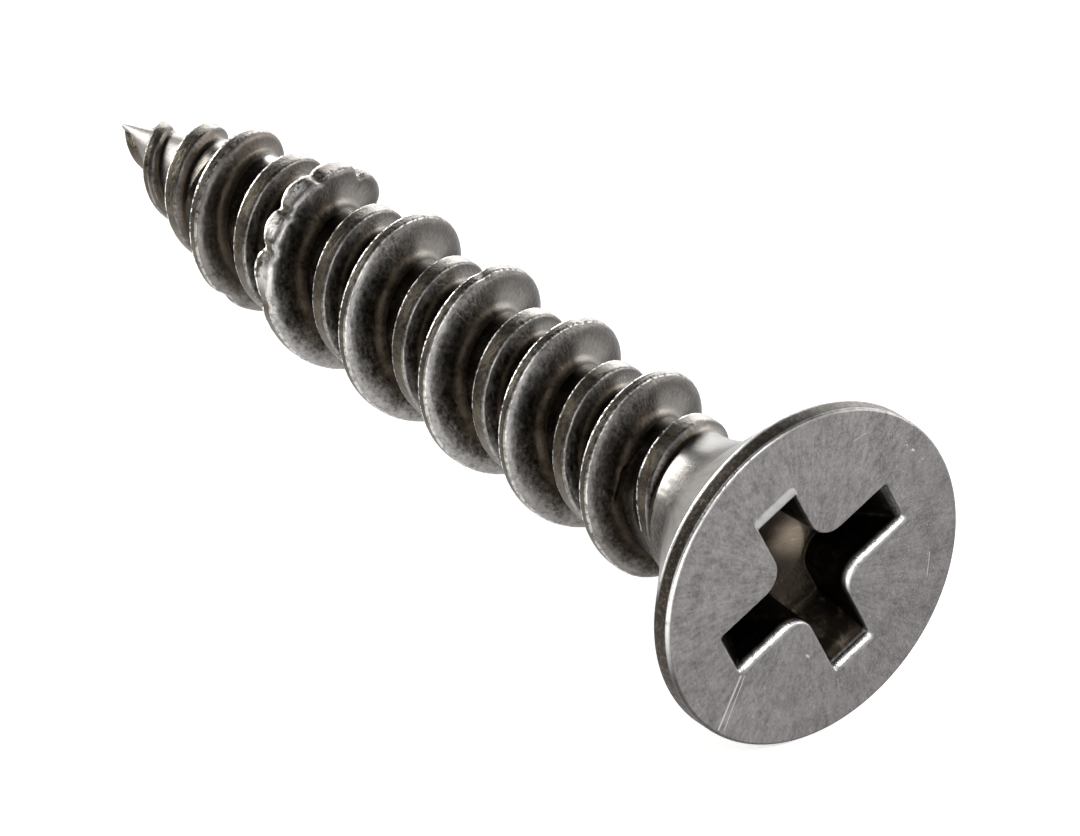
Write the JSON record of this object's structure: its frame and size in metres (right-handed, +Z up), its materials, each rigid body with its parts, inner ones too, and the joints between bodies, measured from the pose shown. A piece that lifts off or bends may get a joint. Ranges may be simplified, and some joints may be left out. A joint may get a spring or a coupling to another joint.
{
  "type": "wood screw",
  "caption": "Countersunk wood screw with a cross recess, a flared plain neck, a two-height thread and a sharp gimlet point.",
  "frame": {"origin": "centre of the head's flat face", "axes": "+X out of the head along the screw's axis, with the point on the -X side; +Z up as the screw lies level"},
  "size_m": [0.0254, 0.0082, 0.0082],
  "materials": {
    "head_steel": "satin grey steel with fine radial streaks and small handling scratches",
    "thread_steel": "rolled steel, bright on the crests and darker and oily in the grooves"
  },
  "bodies": {
    "root": {"head": "head_steel", "neck": "thread_steel", "core": "thread_steel", "gimlet_point": "thread_steel", "high_thread": "thread_steel", "low_thread": "thread_steel"}
  },
  "joints": []
}
